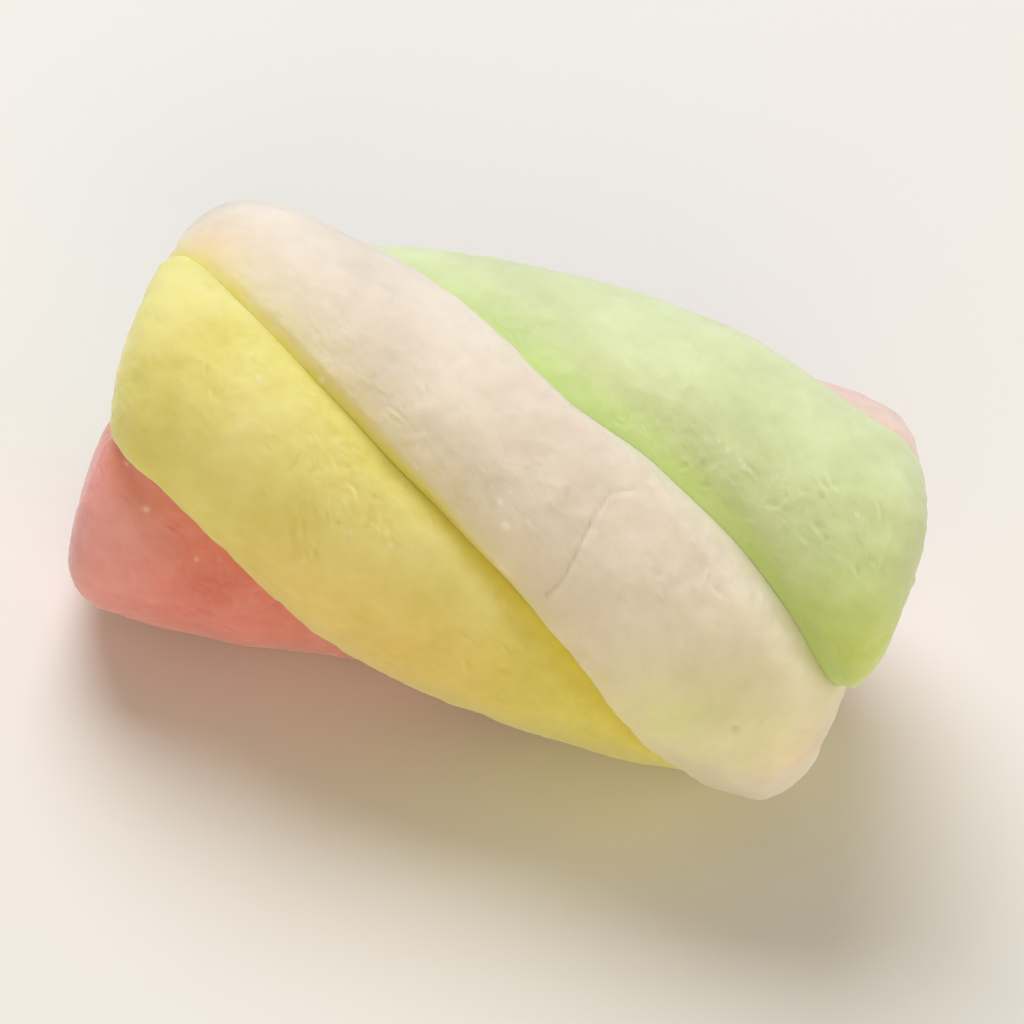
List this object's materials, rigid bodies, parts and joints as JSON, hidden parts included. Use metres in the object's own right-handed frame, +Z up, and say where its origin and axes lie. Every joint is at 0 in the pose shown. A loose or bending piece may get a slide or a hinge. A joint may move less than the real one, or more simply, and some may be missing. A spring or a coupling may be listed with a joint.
{
  "type": "twisted marshmallow",
  "caption": "Short rope-shaped marshmallow: white, yellow, pink and green strands twisted round one another, with flat cut ends, lying on its side.",
  "frame": {"origin": "middle of the footprint, on the surface that the marshmallow lies on", "axes": "+X along the rope of strands towards the end where the green strand stands proud, +Z up"},
  "size_m": [0.0476, 0.0272, 0.0268],
  "materials": {
    "white_marshmallow": "soft matt foam, dusted with starch",
    "yellow_marshmallow": "soft matt foam, dusted with starch",
    "pink_marshmallow": "soft matt foam, dusted with starch",
    "green_marshmallow": "soft matt foam, dusted with starch"
  },
  "bodies": {
    "root": {"strand_white": "white_marshmallow", "strand_yellow": "yellow_marshmallow", "strand_pink": "pink_marshmallow", "strand_green": "green_marshmallow"}
  },
  "joints": []
}
